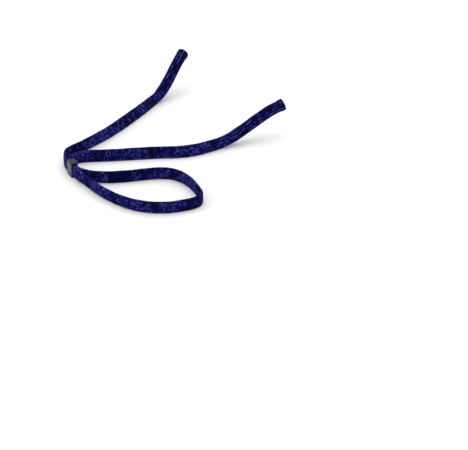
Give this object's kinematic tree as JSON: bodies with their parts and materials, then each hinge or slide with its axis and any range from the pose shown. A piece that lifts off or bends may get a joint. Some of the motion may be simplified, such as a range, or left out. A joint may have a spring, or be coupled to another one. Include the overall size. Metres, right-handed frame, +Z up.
{
  "type": "eyeglass retainer strap",
  "caption": "Flat knitted tube strap that holds eyeglasses round the neck, doubled through a plastic slider, with open sleeves for the temple tips.",
  "frame": {"origin": "on the floor under the middle of the strap's whole box as it lies", "axes": "+Z up, the strap stands on its edge; +Y from the loop towards the two mouths; +X from the slider towards the loop's closed end"},
  "size_m": [0.172, 0.2486, 0.0314],
  "materials": {
    "knit": "space-dyed navy and black stretch knit, matt",
    "thread": "dark navy sewing thread",
    "slider_plastic": "black, moulded, semi-gloss"
  },
  "bodies": {
    "strap": {"strap_loop": "knit"},
    "slider": {"slider": "slider_plastic"},
    "left_arm": {"left_arm": "knit", "left_temple_sleeve": "knit", "left_hem": "knit", "left_hem_thread": "thread"},
    "right_arm": {"right_arm": "knit", "right_temple_sleeve": "knit", "right_hem": "knit", "right_hem_thread": "thread"}
  },
  "joints": [
    {"name": "slider_slide", "type": "slide", "parent": "strap", "child": "slider", "axis": [0.4384, -0.8988, 0], "range_m": [0, 0.004]},
    {"name": "left_arm_swing", "type": "hinge", "parent": "strap", "child": "left_arm", "pos_m": [-0.0809, -0.025, 0.0049], "axis": [0, 0, 1], "range_deg": [-15, 20]},
    {"name": "right_arm_swing", "type": "hinge", "parent": "strap", "child": "right_arm", "pos_m": [-0.0691, -0.0347, 0.0049], "axis": [0, 0, 1], "range_deg": [-18, 10]}
  ]
}
